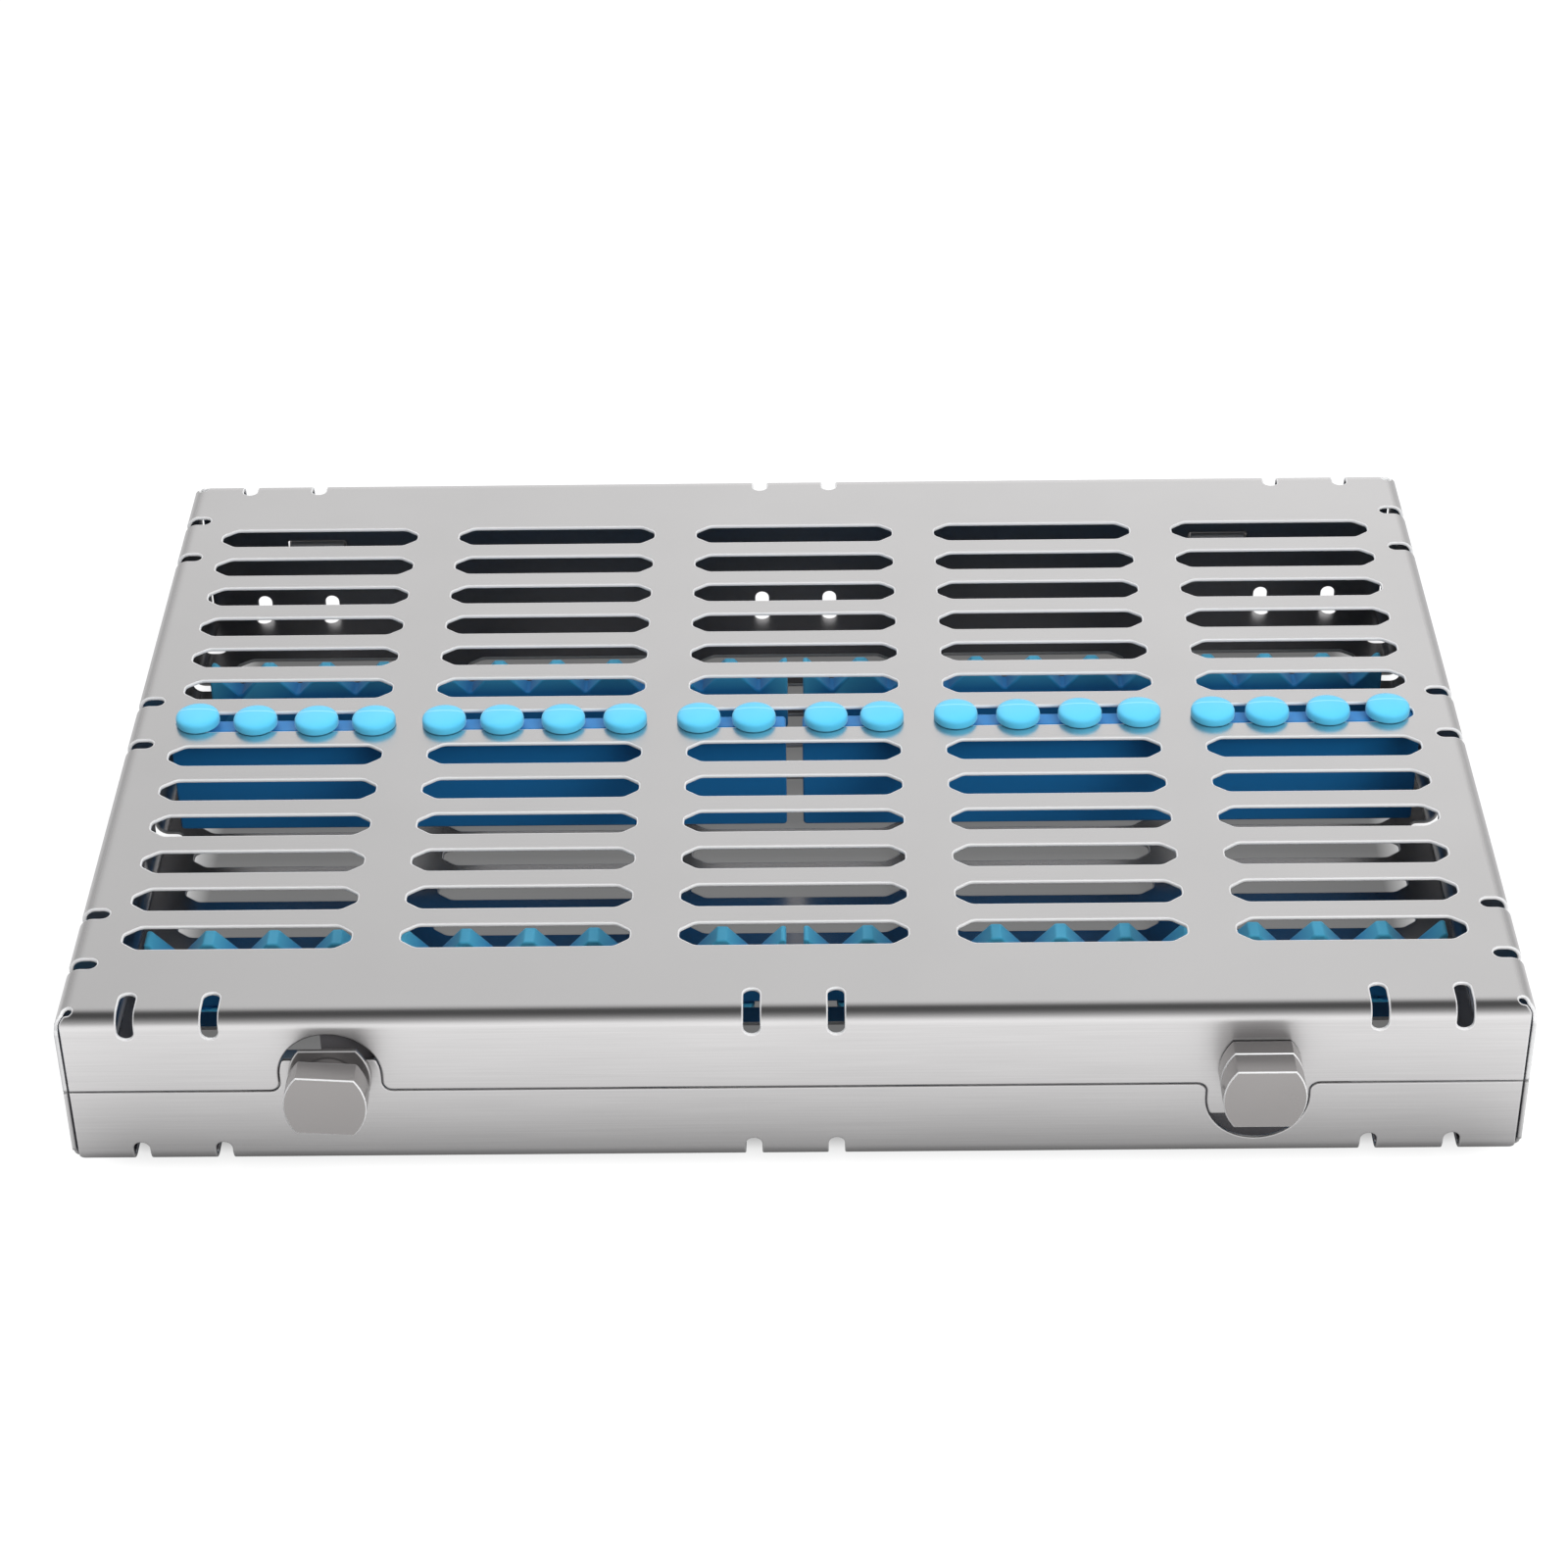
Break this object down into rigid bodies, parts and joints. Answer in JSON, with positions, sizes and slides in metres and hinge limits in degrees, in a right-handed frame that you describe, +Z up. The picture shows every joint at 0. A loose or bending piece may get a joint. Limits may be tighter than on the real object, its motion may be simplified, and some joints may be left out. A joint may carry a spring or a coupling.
{
  "type": "instrument cassette",
  "caption": "Hinged slotted steel tray case with toothed silicone rails, a silicone hold-down strip and turning latches, for storing and sterilising slim hand instruments.",
  "frame": {"origin": "under the middle of the closed cassette, on the plane its silicone feet stand on", "axes": "+X to the right along the front, +Y from the latches to the hinges, +Z up through the lid"},
  "size_m": [0.28, 0.2141, 0.0412],
  "materials": {
    "tray_steel": "satin rolled stainless sheet with bright deburred edges",
    "turned_steel": "fine turned and polished stainless",
    "silicone": "matt sky-blue moulded silicone"
  },
  "bodies": {
    "base": {"base_tray": "tray_steel", "rail_front_left": "silicone", "rail_front_right": "silicone", "rail_rear_left": "silicone", "rail_rear_right": "silicone", "hinge_pin_left": "turned_steel", "hinge_pin_right": "turned_steel", "collar_left": "turned_steel", "keeper_right": "tray_steel"},
    "lid": {"lid_tray": "tray_steel", "hold_down_left": "silicone", "hold_down_right": "silicone", "collar_right": "turned_steel", "keeper_left": "tray_steel"},
    "latch_left": {"knob_left": "turned_steel", "spring_washer_left": "turned_steel", "cam_left": "tray_steel", "end_screw_left": "turned_steel"},
    "latch_right": {"knob_right": "turned_steel", "spring_washer_right": "turned_steel", "cam_right": "tray_steel", "end_screw_right": "turned_steel"}
  },
  "joints": [
    {"name": "lid_hinge", "type": "hinge", "parent": "base", "child": "lid", "pos_m": [0, 0.10445, 0.0206], "axis": [-1, 0, 0], "range_deg": [0, 180]},
    {"name": "latch_left_turn", "type": "hinge", "parent": "base", "child": "latch_left", "pos_m": [-0.0885, -0.09735, 0.0245], "axis": [0, -1, 0], "range_deg": [0, 90]},
    {"name": "latch_right_turn", "type": "hinge", "parent": "lid", "child": "latch_right", "pos_m": [0.0885, -0.09735, 0.0245], "axis": [0, -1, 0], "range_deg": [0, 90]}
  ]
}
